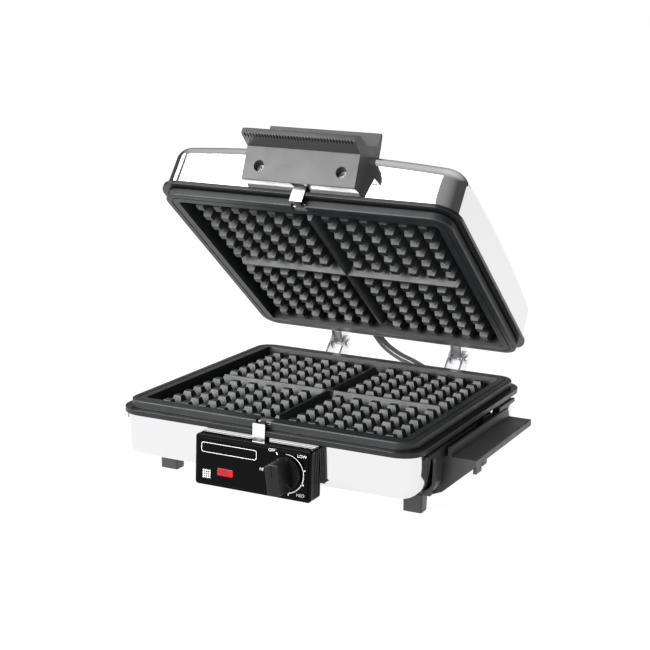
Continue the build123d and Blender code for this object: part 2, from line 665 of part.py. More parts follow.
with BuildPart() as control_panel:
    with BuildSketch(panel_plane(PANEL_FRONT)):
        with Locations((0, PANEL_MIDDLE)):
            RectangleRounded(2 * PANEL_HALF_WIDTH, PANEL_HEIGHT, PANEL_CORNER)
    extrude(amount=PANEL_FRONT - PANEL_BACK)
    fillet(control_panel.faces().sort_by(Axis.Y)[0].edges(), 0.9)
    with BuildSketch(panel_plane(PANEL_FRONT + PANEL_WALL)):
        with Locations((0, PANEL_MIDDLE)):
            Rectangle(2 * (PANEL_HALF_WIDTH - PANEL_WALL), PANEL_HEIGHT - 2 * PANEL_WALL)
    extrude(amount=PANEL_FRONT + PANEL_WALL - PANEL_BACK, mode=Mode.SUBTRACT)
    with BuildSketch(panel_plane(PANEL_FRONT + PANEL_WALL)):
        with Locations((0, -PANEL_TOP_DEPTH)):
            Rectangle(
                CLIP_WIDTH + 2 * (CLIP_PIN_GRIP + CLIP_SIDE_GAP) + 3,
                CLIP_POCKET_DEPTH + PANEL_WALL - PANEL_TOP_DEPTH,
                align=(Align.CENTER, Align.MAX),
            )
    extrude(amount=PANEL_FRONT + PANEL_WALL - PANEL_BACK)
    add(clip_pocket(BASE_FACE), mode=Mode.SUBTRACT)
    add(base_block(), mode=Mode.SUBTRACT)
    with BuildSketch(panel_plane(PANEL_FRONT)):
        with Locations((DIAL_X, -DIAL_DEPTH)):
            Circle(SHAFT_RADIUS + 2)
        with Locations((LENS_X, -LENS_DEPTH)):
            Rectangle(LENS_WIDTH + 0.3, LENS_HEIGHT + 0.3)
    extrude(amount=-PANEL_WALL, mode=Mode.SUBTRACT)
    for depth in (5.5, 9.0, 12.5):
        with BuildSketch(panel_plane(PANEL_FRONT + depth)):
            with Locations((0, PANEL_MIDDLE)):
                Rectangle(2 * PANEL_HALF_WIDTH + 2, PANEL_HEIGHT + 2)
                Rectangle(2 * PANEL_HALF_WIDTH - 1.8, PANEL_HEIGHT - 1.8, mode=Mode.SUBTRACT)
        extrude(amount=-1.2, mode=Mode.SUBTRACT)
save(control_panel.part, "control_panel")

with BuildPart() as dial_face:
    with BuildSketch(panel_plane(PANEL_FRONT)):
        with Locations((0, PANEL_MIDDLE)):
            RectangleRounded(2 * PANEL_HALF_WIDTH - 4, PANEL_HEIGHT - 4, PANEL_CORNER)
        with Locations((DIAL_X, -DIAL_DEPTH)):
            Circle(SHAFT_RADIUS + 1.5, mode=Mode.SUBTRACT)
        with Locations((LENS_X, -LENS_DEPTH)):
            Rectangle(LENS_WIDTH + 0.3, LENS_HEIGHT + 0.3, mode=Mode.SUBTRACT)
    extrude(amount=DIAL_THICKNESS)
    fillet(dial_face.faces().sort_by(Axis.Y)[0].outer_wire().edges(), 0.4)
save(dial_face.part, "dial_face")

with BuildPart() as indicator_lens:
    with BuildSketch(panel_plane(PANEL_FRONT - DIAL_THICKNESS - 0.6)):
        with Locations((LENS_X, -LENS_DEPTH)):
            RectangleRounded(LENS_WIDTH, LENS_HEIGHT, 0.8)
    extrude(amount=-(DIAL_THICKNESS + 0.6 + PANEL_WALL))
    fillet(indicator_lens.faces().sort_by(Axis.Y)[0].edges(), 0.4)
    with BuildSketch(panel_plane(PANEL_FRONT + PANEL_WALL)):
        with Locations((LENS_X, -LENS_DEPTH)):
            Rectangle(LENS_WIDTH + 3, LENS_HEIGHT + 3)
    extrude(amount=-1)
save(indicator_lens.part, "indicator_lens")

with BuildPart() as indicator_lamp:
    with BuildSketch(panel_plane(PANEL_FRONT + PANEL_WALL + 1.2)):
        with Locations((LENS_X, -LENS_DEPTH)):
            Circle(2.6)
    extrude(amount=-LAMP_LENGTH)
    fillet(indicator_lamp.faces().sort_by(Axis.Y)[0].edges(), 2.2)
    with BuildSketch(panel_plane(PANEL_FRONT + PANEL_WALL + 1.2 + LAMP_LENGTH)):
        with Locations((LENS_X - 1.2, -LENS_DEPTH), (LENS_X + 1.2, -LENS_DEPTH)):
            Circle(0.4)
    extrude(amount=-1.6)
save(indicator_lamp.part, "indicator_lamp")

with BuildPart() as thermostat:
    with BuildSketch(panel_plane(THERMOSTAT_FRONT)):
        with Locations((DIAL_X, -DIAL_DEPTH)):
            Rectangle(26, 16)
    extrude(amount=-THERMOSTAT_LENGTH)
    fillet(thermostat.edges().filter_by(Axis.Y), 2)
    with BuildSketch(panel_plane(THERMOSTAT_FRONT)):
        with Locations((DIAL_X, -DIAL_DEPTH)):
            Circle(BUSH_RADIUS)
    extrude(amount=THERMOSTAT_BUSH)
    with BuildSketch(panel_plane(THERMOSTAT_FRONT - THERMOSTAT_BUSH)):
        with Locations((DIAL_X, -DIAL_DEPTH)):
            Circle(SHAFT_RADIUS + RUNNING_CLEARANCE)
    extrude(amount=THERMOSTAT_FRONT - THERMOSTAT_BUSH - SHAFT_REAR - 1, mode=Mode.SUBTRACT)
    with BuildSketch(panel_plane(THERMOSTAT_FRONT + THERMOSTAT_LENGTH)):
        with Locations((DIAL_X - 8, -DIAL_DEPTH - 4), (DIAL_X + 8, -DIAL_DEPTH - 4)):
            Rectangle(6.3, 0.8)
    extrude(amount=-THERMOSTAT_TAB)
save(thermostat.part, "thermostat")

with BuildPart() as thermostat_nut:
    with BuildSketch(panel_plane(NUT_BACK)):
        with Locations((DIAL_X, -DIAL_DEPTH)):
            RegularPolygon(7, 6)
            Circle(BUSH_RADIUS, mode=Mode.SUBTRACT)
    extrude(amount=2.5)
save(thermostat_nut.part, "thermostat_nut")

with BuildPart() as thermostat_shaft:
    with BuildSketch(panel_plane(SHAFT_FRONT)):
        with Locations((DIAL_X, -DIAL_DEPTH)):
            Circle(SHAFT_RADIUS)
    extrude(amount=SHAFT_FRONT - SHAFT_REAR)
save(thermostat_shaft.part, "thermostat_shaft")

with BuildPart() as temperature_knob:
    with BuildSketch(panel_plane(KNOB_BACK)):
        with Locations((DIAL_X, -DIAL_DEPTH)):
            Circle(KNOB_RADIUS)
    extrude(amount=KNOB_DISC, taper=6)
    with BuildSketch(panel_plane(KNOB_BACK)):
        with Locations(Location((DIAL_X, -DIAL_DEPTH), KNOB_TILT)):
            Rectangle(GRIP_WIDTH, 2 * KNOB_RADIUS)
        with Locations((DIAL_X, -DIAL_DEPTH)):
            Circle(KNOB_RADIUS, mode=Mode.INTERSECT)
    extrude(amount=KNOB_BACK - KNOB_FRONT, taper=1.5)
    fillet(temperature_knob.faces().sort_by(Axis.Y)[0].edges(), 1.4)
    with BuildSketch(panel_plane(KNOB_FRONT)):
        with Locations(Location((DIAL_X, -DIAL_DEPTH), KNOB_TILT)):
            with Locations((0, KNOB_RADIUS / 2)):
                Rectangle(0.9, KNOB_RADIUS - 4)
    extrude(amount=-0.5, mode=Mode.SUBTRACT)
    with BuildSketch(panel_plane(KNOB_BACK)):
        with Locations((DIAL_X, -DIAL_DEPTH)):
            Circle(SHAFT_RADIUS)
    extrude(amount=KNOB_BACK - SHAFT_FRONT, mode=Mode.SUBTRACT)
save(temperature_knob.part, "temperature_knob")


# ---------------------------------------------------------------- lid shell and handle
def lid_block(inset=0.0):
    """The crowned solid that the lid shell is drawn over, shrunk by an inset on its outer faces."""
    with BuildPart() as dome:
        with BuildSketch(OPEN_LID.offset(UPPER_LIP_BOTTOM)):
            outline(inset - SHELL_OUTSET)
        extrude(amount=LID_CROWN_HEIGHT, taper=LID_DRAFT)
        with Locations(OPEN_LID.offset(LID_CROWN_HEIGHT - LID_CROWN_RADIUS)):
            Sphere(LID_CROWN_RADIUS - inset, rotation=(90, 0, 0), mode=Mode.INTERSECT)
        fillet(dome.faces().sort_by(along(OPEN_LID))[-1].edges(), LID_EDGE_ROUND - inset)
    return dome.part


def lid_panel_plane(y):
    """A plane of the lid that faces its front, with its second axis up through the lid."""
    return Plane(
        origin=OPEN_LID.from_local_coords((0, y, 0)), x_dir=OPEN_LID.x_dir, z_dir=-OPEN_LID.y_dir
    )


with BuildPart() as lid_shell:
    add(lid_block())
    add(lid_block(SHEET), mode=Mode.SUBTRACT)
    with BuildSketch(lid_panel_plane(PLATE_LENGTH / 2 + 6)):
        with Locations((CONDUIT_LID_X, CONDUIT_LID_HEIGHT)):
            Circle(CONDUIT_BUSH_NECK)
    extrude(amount=14, mode=Mode.SUBTRACT)
    with BuildSketch(lid_panel_plane(-PLATE_LENGTH / 2 - 6)):
        with Locations((-HANDLE_SCREW_X, HANDLE_SCREW_HEIGHT), (HANDLE_SCREW_X, HANDLE_SCREW_HEIGHT)):
            Circle(HANDLE_SCREW_RADIUS)
    extrude(amount=-8, mode=Mode.SUBTRACT)
save(lid_shell.part, "lid_shell")

with BuildPart() as lid_handle:
    with BuildSketch(LID_SIDE):
        with BuildLine():
            Polyline(
                (-126.2, 12.4),
                (-133.2, 37.0),
                (-147.7, 39.0),
                (-147.7, 43.5),
                (-142.2, 47.0),
                (-126.2, 48.7),
                (-109.7, 57.5),
                (-110.5, 69.0),
                (-107.3, 69.0),
                (-103.6, 60.0),
                (-101.2, 51.6),
                (-101.2, 40.0),
                (-106.0, 16.0),
                close=True,
            )
        make_face()
    extrude(amount=LID_HANDLE_HALF_WIDTH, both=True)
    fillet(lid_handle.edges().filter_by(Axis.X), 0.7)
    with BuildSketch(lid_panel_plane(WING_FRONT)):
        for height in (WING_TOP, WING_BOTTOM):
            with Locations((0, height)):
                with GridLocations(SERRATION_PITCH, 1, SERRATIONS, 1):
                    Rectangle(SERRATION_PITCH / 2, 1.6)
    extrude(amount=-4.5, mode=Mode.SUBTRACT)
    with BuildSketch(lid_panel_plane(HANDLE_SCREW_SEAT)):
        with Locations((-HANDLE_SCREW_X, HANDLE_SCREW_HEIGHT), (HANDLE_SCREW_X, HANDLE_SCREW_HEIGHT)):
            Circle(4.2)
    extrude(amount=14, mode=Mode.SUBTRACT)
    with BuildSketch(lid_panel_plane(HANDLE_SCREW_SEAT)):
        with Locations((-HANDLE_SCREW_X, HANDLE_SCREW_HEIGHT), (HANDLE_SCREW_X, HANDLE_SCREW_HEIGHT)):
            Circle(HANDLE_SCREW_RADIUS)
    extrude(amount=-20, mode=Mode.SUBTRACT)
    add(clip_pocket(LID_FACE), mode=Mode.SUBTRACT)
    add(lid_block(), mode=Mode.SUBTRACT)
save(lid_handle.part, "lid_handle")

with BuildPart() as lid_handle_screws:
    with BuildSketch(lid_panel_plane(HANDLE_SCREW_SEAT)):
        with Locations((-HANDLE_SCREW_X, HANDLE_SCREW_HEIGHT), (HANDLE_SCREW_X, HANDLE_SCREW_HEIGHT)):
            Circle(3.7)
    extrude(amount=2.6)
    with BuildSketch(lid_panel_plane(HANDLE_SCREW_SEAT - 2.6)):
        with Locations((-HANDLE_SCREW_X, HANDLE_SCREW_HEIGHT), (HANDLE_SCREW_X, HANDLE_SCREW_HEIGHT)):
            Rectangle(4.6, 0.9)
            Rectangle(0.9, 4.6)
    extrude(amount=-1.4, mode=Mode.SUBTRACT)
    with BuildSketch(lid_panel_plane(HANDLE_SCREW_SEAT)):
        with Locations((-HANDLE_SCREW_X, HANDLE_SCREW_HEIGHT), (HANDLE_SCREW_X, HANDLE_SCREW_HEIGHT)):
            Circle(HANDLE_SCREW_RADIUS)
    extrude(amount=-13)
save(lid_handle_screws.part, "lid_handle_screws")


# ---------------------------------------------------------------- hinges
def hinge_leaf(side, x, spread, radius, bore, web_length):
    """Two ears from the rear wall to the pin, joined by a foot plate and a web on their front edge.

    The base's leaf has its foot below the parting plane and the lid's leaf above it.
    """
    below = side is BASE_SIDE
    towards = 1 if below else -1
    pivot = Vector(HINGE_Y, HINGE_RISE if below else HINGE_RISE - CLOSED_GAP)
    foot = Vector(HINGE_FOOT_Y, -towards * HINGE_FOOT_DEPTH)
    corner = foot + Vector(EAR_SHEET, towards * HINGE_FOOT_LENGTH / 2)
    run = pivot - corner
    turn = math.degrees(math.asin(radius / run.length))
    edge = run.normalized().rotate(Axis.Z, towards * turn)
    inward = edge.rotate(Axis.Z, -towards * 90) * EAR_SHEET
    web_start = corner + inward * 0.2 - edge * EAR_SHEET
    web_end = web_start + edge * web_length
    with BuildPart() as leaf:
        for offset in (-spread - EAR_SHEET / 2, spread + EAR_SHEET / 2):
            with BuildSketch(side.offset(x + offset)):
                with Locations(foot):
                    Rectangle(2 * EAR_SHEET, HINGE_FOOT_LENGTH)
                with Locations(pivot):
                    Circle(radius)
                make_hull()
                with Locations(pivot):
                    Circle(bore, mode=Mode.SUBTRACT)
            extrude(amount=EAR_SHEET / 2, both=True)
        with BuildSketch(side.offset(x)):
            with Locations(foot):
                Rectangle(2 * EAR_SHEET, HINGE_FOOT_LENGTH)
            with BuildLine():
                Polyline(web_start, web_end, web_end + inward, web_start + inward, close=True)
            make_face()
        extrude(amount=spread, both=True)
        add(base_block() if below else lid_block(), mode=Mode.SUBTRACT)
    return leaf.part


def hinge_pin(x):
    """A headed pin through both pairs of ears."""
    with BuildPart() as pin:
        with BuildSketch(BASE_SIDE.offset(x)):
            with Locations((HINGE_Y, HINGE_RISE)):
                Circle(PIN_RADIUS)
        extrude(amount=BRACKET_SPREAD + EAR_SHEET, both=True)
        for end in (-1, 1):
            with BuildSketch(BASE_SIDE.offset(x + end * (BRACKET_SPREAD + EAR_SHEET + 0.8))):
                with Locations((HINGE_Y, HINGE_RISE)):
                    Circle(PIN_RADIUS + 1.6)
            extrude(amount=0.8, both=True)
    return pin.part


for name, x in (("right", HINGE_X), ("left", -HINGE_X)):
    bracket = hinge_leaf(BASE_SIDE, x, BRACKET_SPREAD, BRACKET_RADIUS, PIN_RADIUS, BRACKET_WEB)
    arm_bore = PIN_RADIUS + RUNNING_CLEARANCE
    arm = hinge_leaf(LID_SIDE, x, ARM_SPREAD, ARM_RADIUS, arm_bore, ARM_WEB)
    save(bracket, f"{name}_hinge_bracket")
    save(arm, f"{name}_lid_arm")
    save(hinge_pin(x), f"{name}_hinge_pin")


# ---------------------------------------------------------------- cable entries and conduit
def wall_bush(plane, neck, bore):
    """A bush through a wall just inside the plane: flange outside, nut inside."""
    with BuildPart() as bush:
        with BuildSketch(plane):
            Circle(neck + 2)
        extrude(amount=BUSH_FLANGE)
        fillet(bush.faces().sort_by(along(plane))[-1].edges(), 0.8)
        with BuildSketch(plane.offset(BUSH_FLANGE)):
            Circle(neck - 0.6)
        extrude(amount=BUSH_REACH - BUSH_FLANGE)
        with BuildSketch(plane):
            Circle(neck - 0.1)
        extrude(amount=-BUSH_GRIP)
        with BuildSketch(plane.offset(-BUSH_GRIP)):
            RegularPolygon(neck + 2.2, 6)
        extrude(amount=-BUSH_NUT)
        with BuildSketch(plane.offset(BUSH_REACH)):
            Circle(bore)
        extrude(amount=-(BUSH_REACH + BUSH_GRIP + BUSH_NUT), mode=Mode.SUBTRACT)
    return bush.part


def rear_plane(face, x, depth, lip_bottom, draft):
    """A plane facing the rear, just behind a shell's sloping rear wall at a depth."""
    slope = (depth - lip_bottom) * math.tan(math.radians(draft))
    y = PLATE_LENGTH / 2 + SHELL_OUTSET - slope + BUSH_STANDOFF
    origin = face.from_local_coords((x, y, -depth))
    return Plane(origin=origin, x_dir=-face.x_dir, z_dir=face.y_dir)


LOWER_BUSH = rear_plane(
    BASE_FACE, CONDUIT_BASE_X, CONDUIT_BASE_DEPTH, LOWER_LIP_BOTTOM, BASE_DRAFT
)
UPPER_BUSH = rear_plane(
    LID_FACE, -CONDUIT_LID_X, CONDUIT_LID_HEIGHT, UPPER_LIP_BOTTOM, LID_DRAFT
)
GLAND = rear_plane(BASE_FACE, GLAND_X, GLAND_DEPTH, LOWER_LIP_BOTTOM, BASE_DRAFT)
save(wall_bush(LOWER_BUSH, CONDUIT_BUSH_NECK, CONDUIT_BORE), "lower_conduit_bush")
save(wall_bush(UPPER_BUSH, CONDUIT_BUSH_NECK, CONDUIT_BORE), "upper_conduit_bush")
save(wall_bush(GLAND, GLAND_NECK, GLAND_BORE), "mains_gland")


def tube_radii(points):
    """Arc radii for a route: 0.45 of the shorter run over the tangent of half the turn."""
    radii = []
    for before, here, after in zip(points, points[1:], points[2:]):
        arriving = Vector(*here) - Vector(*before)
        leaving = Vector(*after) - Vector(*here)
        shorter = min(arriving.length, leaving.length)
        radii.append(0.45 * shorter / math.tan(math.radians(arriving.get_angle(leaving) / 2)))
    return radii


def conduit_tube(points, radius):
    """A tube of straight runs joined by tangent arcs."""
    radii = tube_radii(points)
    with BuildPart() as tube:
        with BuildLine() as route:
            FilletPolyline(*points, radius=radii)
        with BuildSketch(Plane(origin=route.line @ 0, z_dir=route.line % 0)):
            Circle(radius)
        sweep()
    length = sum(edge.length for edge in route.edges())
    fill = tube.part.volume / (math.pi * radius**2 * length)
    print("conduit radii", [round(r, 1) for r in radii])
    print("conduit length", round(length, 1), "volume over section times length", round(fill, 4))
    return tube.part


CONDUIT_ROUTE = [
    tuple(UPPER_BUSH.from_local_coords((0, 0, BUSH_REACH))),
    tuple(UPPER_BUSH.from_local_coords((0, 0, BUSH_REACH + 9))),
    (-24.5, 145.8, 80.0),
    (-15.0, 146.2, 68.5),
    (-1.0, 146.1, 60.5),
    (13.5, 145.8, 56.0),
    (26.5, 143.0, 51.5),
    (35.5, 138.5, 46.5),
    tuple(LOWER_BUSH.from_local_coords((0, 0, BUSH_REACH + 9))),
    tuple(LOWER_BUSH.from_local_coords((0, 0, BUSH_REACH))),
]
save(conduit_tube(CONDUIT_ROUTE, CONDUIT_RADIUS), "lid_conduit")
print("conduit route", [tuple(round(v, 2) for v in p) for p in CONDUIT_ROUTE])


# ---------------------------------------------------------------- wiring inside the base
INNER_FLOOR = PARTING_HEIGHT - BASE_BOTTOM_DEPTH + SHEET + COVER_SHEET

with BuildPart() as terminal_block:
    with BuildSketch(Plane.XY.offset(INNER_FLOOR)):
        with Locations((TERMINAL_BLOCK_X, TERMINAL_BLOCK_Y)):
            Rectangle(34, 15)
    extrude(amount=11)
    with BuildSketch(Plane.XY.offset(INNER_FLOOR + 11)):
        with Locations((TERMINAL_BLOCK_X, TERMINAL_BLOCK_Y)):
            with GridLocations(11, 8, 3, 2):
                Circle(2.2)
    extrude(amount=-3, mode=Mode.SUBTRACT)
save(terminal_block.part, "terminal_block")

with BuildPart() as thermal_fuse:
    with BuildSketch(Plane(origin=(-20, -70, 36), x_dir=(0, 1, 0), z_dir=(1, 0, 0))):
        Circle(2.2)
    extrude(amount=12, both=True)
    with BuildSketch(Plane(origin=(-20, -70, 36), x_dir=(0, 1, 0), z_dir=(1, 0, 0))):
        Circle(0.6)
    extrude(amount=24, both=True)
save(thermal_fuse.part, "thermal_fuse")


def wire(*points):
    """An insulated wire along a route with rounded corners."""
    with BuildPart() as lead:
        with BuildLine() as route:
            FilletPolyline(*points, radius=4)
        with BuildSketch(Plane(origin=route.line @ 0, z_dir=route.line % 0)):
            Circle(WIRE_RADIUS)
        sweep()
    return lead.part


WIRE_Z = INNER_FLOOR + 5
with BuildPart() as internal_wiring:
    add(
        wire(
            (GLAND_X, 104.0, PARTING_HEIGHT - GLAND_DEPTH),
            (GLAND_X, 96.0, PARTING_HEIGHT - GLAND_DEPTH),
            (TERMINAL_BLOCK_X, 90.0, WIRE_Z),
            (TERMINAL_BLOCK_X, TERMINAL_BLOCK_Y + 7.6, WIRE_Z),
        )
    )
    add(
        wire(
            (CONDUIT_BASE_X, 104.0, 42.0 - 8.0),
            (CONDUIT_BASE_X, 92.0, 36.0),
            (CONDUIT_BASE_X - 12, TERMINAL_BLOCK_Y, WIRE_Z),
            (TERMINAL_BLOCK_X + 17.2, TERMINAL_BLOCK_Y, WIRE_Z),
        )
    )
    add(
        wire(
            (DIAL_X - 8, THERMOSTAT_FRONT + THERMOSTAT_LENGTH + THERMOSTAT_TAB + 1, 28.8),
            (DIAL_X - 8, -70.0, WIRE_Z),
            (TERMINAL_BLOCK_X, -20.0, WIRE_Z),
            (TERMINAL_BLOCK_X, TERMINAL_BLOCK_Y - 7.6, WIRE_Z),
        )
    )
save(internal_wiring.part, "internal_wiring")
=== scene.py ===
"""The looks of a four-square waffle maker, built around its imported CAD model."""

import json
import math

import bpy
from mathutils import Matrix, Vector


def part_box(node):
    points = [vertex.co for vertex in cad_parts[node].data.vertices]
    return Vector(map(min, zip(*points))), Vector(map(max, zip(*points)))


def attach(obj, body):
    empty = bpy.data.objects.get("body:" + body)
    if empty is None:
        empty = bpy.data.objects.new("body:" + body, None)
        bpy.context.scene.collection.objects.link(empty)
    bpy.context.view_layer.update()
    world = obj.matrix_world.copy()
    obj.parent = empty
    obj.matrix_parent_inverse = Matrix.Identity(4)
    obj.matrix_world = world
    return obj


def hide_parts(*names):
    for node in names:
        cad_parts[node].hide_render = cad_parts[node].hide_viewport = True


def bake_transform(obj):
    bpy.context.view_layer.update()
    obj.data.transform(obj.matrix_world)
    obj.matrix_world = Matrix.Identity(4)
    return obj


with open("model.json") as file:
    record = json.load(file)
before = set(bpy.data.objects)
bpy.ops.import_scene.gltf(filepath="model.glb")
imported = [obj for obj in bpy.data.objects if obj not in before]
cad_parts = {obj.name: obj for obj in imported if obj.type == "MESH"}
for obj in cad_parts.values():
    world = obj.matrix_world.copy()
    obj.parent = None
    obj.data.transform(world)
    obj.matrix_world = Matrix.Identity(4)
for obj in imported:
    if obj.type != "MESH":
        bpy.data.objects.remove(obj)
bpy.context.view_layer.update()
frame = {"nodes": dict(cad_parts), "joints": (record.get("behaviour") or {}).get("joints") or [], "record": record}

NODES = frame["nodes"]
JOINTS = {joint["name"]: joint for joint in frame["joints"]}


# ---------------------------------------------------------------- camera and light
CAMERA_PLACE = Vector((0.4892, -1.0677, 0.3654))
CAMERA_AZIMUTH = math.radians(24.86)
CAMERA_ELEVATION = math.radians(12.06)
CAMERA_ROLL = math.radians(1.86)
CAMERA_LENS = 84.56
CAMERA_SENSOR = 36.0
CAMERA_CLIP_START = 0.05

# A glow is full within its first angle from its direction, and gone past its second, in degrees.
BACKDROP_DIRECTION = (-0.42, 0.89, -0.30)
BACKDROP_ANGLES = (24, 27)
OVERHEAD_DIRECTION = (0, 0.35, 1)
OVERHEAD_ANGLES = (5, 60)
OVERHEAD_BRIGHTNESS = 0.75
STUDIO_DIM = 0.08

FLOOR_SIZE = 60
FLOOR_GREY = 0.12
FLOOR_GLOW = 0.97

# The name, place, target, width and height, and power of each soft light, in metres and watts.
SOFTBOXES = (
    ("key", (-0.80, -1.40, 1.45), (0, 0, 0.1), (1.9, 1.9), 38),
    ("front_low", (-0.95, -1.80, 0.72), (0, 0, 0.1), (1.7, 1.0), 62),
    ("left_strip", (-1.8, -0.2, 0.9), (0, 0, 0.1), (0.5, 1.4), 8),
    ("right_strip", (1.6, -1.2, 0.9), (0, 0, 0.12), (0.3, 1.2), 3),
)


def add_camera():
    """The camera of the view, with its roll about the line of sight."""
    azimuth, elevation, roll = CAMERA_AZIMUTH, CAMERA_ELEVATION, CAMERA_ROLL
    back = Vector(
        (
            math.sin(azimuth) * math.cos(elevation),
            -math.cos(azimuth) * math.cos(elevation),
            math.sin(elevation),
        )
    )
    level_right = Vector((math.cos(azimuth), math.sin(azimuth), 0))
    level_up = back.cross(level_right)
    right = math.cos(roll) * level_right + math.sin(roll) * level_up
    up = back.cross(right)
    data = bpy.data.cameras.new("camera")
    data.lens = CAMERA_LENS
    data.sensor_width = CAMERA_SENSOR
    data.clip_start = CAMERA_CLIP_START
    camera = bpy.data.objects.new("camera", data)
    turn = Matrix((right, up, back)).transposed().to_4x4()
    camera.matrix_world = Matrix.Translation(CAMERA_PLACE) @ turn
    bpy.context.scene.collection.objects.link(camera)
    bpy.context.scene.camera = camera


def add_softbox(name, place, target, size, power):
    """A rectangular soft light at a place, facing a target."""
    data = bpy.data.lights.new(name, "AREA")
    data.shape = "RECTANGLE"
    data.size, data.size_y = size
    data.energy = power
    light = bpy.data.objects.new(name, data)
    light.location = place
    light.rotation_euler = (Vector(target) - Vector(place)).to_track_quat("-Z", "Y").to_euler()
    bpy.context.scene.collection.objects.link(light)


def glow(direction, angles, nodes, links, coordinates):
    """1 within the first angle from a direction, falling to 0 at the second one."""
    inner, outer = angles
    dot = nodes.new("ShaderNodeVectorMath")
    dot.operation = "DOT_PRODUCT"
    dot.inputs[1].default_value = Vector(direction).normalized()
    links.new(coordinates, dot.inputs[0])
    reach = nodes.new("ShaderNodeMapRange")
    reach.inputs["From Min"].default_value = math.cos(math.radians(outer))
    reach.inputs["From Max"].default_value = math.cos(math.radians(inner))
    links.new(dot.outputs["Value"], reach.inputs["Value"])
    return reach.outputs["Result"]


def add_world():
    """A dim studio with a white backdrop behind the object and a soft glow overhead."""
    world = bpy.data.worlds.new("studio")
    world.use_nodes = True
    bpy.context.scene.world = world
    nodes, links = world.node_tree.nodes, world.node_tree.links
    coordinates = nodes.new("ShaderNodeTexCoord").outputs["Generated"]
    backdrop = glow(BACKDROP_DIRECTION, BACKDROP_ANGLES, nodes, links, coordinates)
    overhead = glow(OVERHEAD_DIRECTION, OVERHEAD_ANGLES, nodes, links, coordinates)
    dimmed = nodes.new("ShaderNodeMath")
    dimmed.operation = "MULTIPLY"
    dimmed.inputs[1].default_value = OVERHEAD_BRIGHTNESS
    links.new(overhead, dimmed.inputs[0])
    brightest = nodes.new("ShaderNodeMath")
    brightest.operation = "MAXIMUM"
    links.new(backdrop, brightest.inputs[0])
    links.new(dimmed.outputs["Value"], brightest.inputs[1])
    ramp = nodes.new("ShaderNodeMapRange")
    ramp.inputs["To Min"].default_value = STUDIO_DIM
    ramp.inputs["To Max"].default_value = 1.0
    links.new(brightest.outputs["Value"], ramp.inputs["Value"])
    background = nodes["Background"]
    background.inputs["Strength"].default_value = 1.0
    links.new(ramp.outputs["Result"], background.inputs["Color"])


def add_floor():
    """A white floor that glows, so that only a faint shadow lies under the feet."""
    bpy.ops.mesh.primitive_plane_add(size=FLOOR_SIZE, location=(0, 0, 0))
    floor = bpy.context.object
    floor.name = "floor"
    paint = bpy.data.materials.new("floor_paint")
    paint.use_nodes = True
    shader = paint.node_tree.nodes["Principled BSDF"]
    shader.inputs["Base Color"].default_value = (FLOOR_GREY, FLOOR_GREY, FLOOR_GREY, 1)
    shader.inputs["Roughness"].default_value = 1.0
    shader.inputs["Specular IOR Level"].default_value = 0.0
    shader.inputs["Emission Color"].default_value = (1, 1, 1, 1)
    shader.inputs["Emission Strength"].default_value = FLOOR_GLOW
    floor.data.materials.append(paint)


# ---------------------------------------------------------------- material helpers
class Paint:
    """A node-based material with short calls for the layers that its surface shows."""

    def __init__(self, name, colour, roughness, metallic=0.0, **sockets):
        self.material = bpy.data.materials.new(name)
        self.material.use_nodes = True
        self.nodes = self.material.node_tree.nodes
        self.links = self.material.node_tree.links
        self.shader = self.nodes["Principled BSDF"]
        self.coordinates = self.nodes.new("ShaderNodeTexCoord").outputs["Object"]
        self.set("Base Color", (*colour, 1))
        self.set("Roughness", roughness)
        self.set("Metallic", metallic)
        for socket, value in sockets.items():
            self.set(socket.replace("_", " ").title().replace("Ior", "IOR"), value)
        self.normal = None

    def set(self, socket, value):
        """Gives a socket of the surface shader a plain value."""
        self.shader.inputs[socket].default_value = value

    def noise(self, size, detail=4.0, stretch=(1, 1, 1)):
        """Noise with features of a size in metres, stretched along the axes."""
        mapping = self.nodes.new("ShaderNodeMapping")
        mapping.inputs["Scale"].default_value = [s / size for s in stretch]
        texture = self.nodes.new("ShaderNodeTexNoise")
        texture.inputs["Scale"].default_value = 1.0
        texture.inputs["Detail"].default_value = detail
        self.links.new(self.coordinates, mapping.inputs["Vector"])
        self.links.new(mapping.outputs["Vector"], texture.inputs["Vector"])
        return texture.outputs["Fac"]

    def ranged(self, value, low, high, start=0.3, end=0.7):
        """Maps a value from start..end to low..high."""
        node = self.nodes.new("ShaderNodeMapRange")
        node.inputs["From Min"].default_value = start
        node.inputs["From Max"].default_value = end
        node.inputs["To Min"].default_value = low
        node.inputs["To Max"].default_value = high
        self.links.new(value, node.inputs["Value"])
        return node.outputs["Result"]

    def blend(self, factor, first, second):
        """Mixes two colours by a factor; either colour may be a socket."""
        node = self.nodes.new("ShaderNodeMix")
        node.data_type = "RGBA"
        self.links.new(factor, node.inputs["Factor"])
        for socket, colour in ((node.inputs[6], first), (node.inputs[7], second)):
            if isinstance(colour, tuple):
                socket.default_value = (*colour, 1)
            else:
                self.links.new(colour, socket)
        return node.outputs[2]

    def vary_roughness(self, size, low, high):
        """Lets the roughness wander between two values."""
        self.links.new(self.ranged(self.noise(size), low, high), self.shader.inputs["Roughness"])
        return self

    def vary_colour(self, size, first, second, detail=4.0):
        """Lets the colour wander between two colours."""
        factor = self.ranged(self.noise(size, detail), 0, 1)
        self.links.new(self.blend(factor, first, second), self.shader.inputs["Base Color"])
        return self

    def grain(self, size, depth, stretch=(1, 1, 1), detail=3.0):
        """Adds surface relief of a feature size and a depth in metres."""
        bump = self.nodes.new("ShaderNodeBump")
        bump.inputs["Strength"].default_value = 1.0
        bump.inputs["Distance"].default_value = depth
        self.links.new(self.noise(size, detail, stretch), bump.inputs["Height"])
        if self.normal is not None:
            self.links.new(self.normal, bump.inputs["Normal"])
        self.normal = bump.outputs["Normal"]
        self.links.new(self.normal, self.shader.inputs["Normal"])
        return self


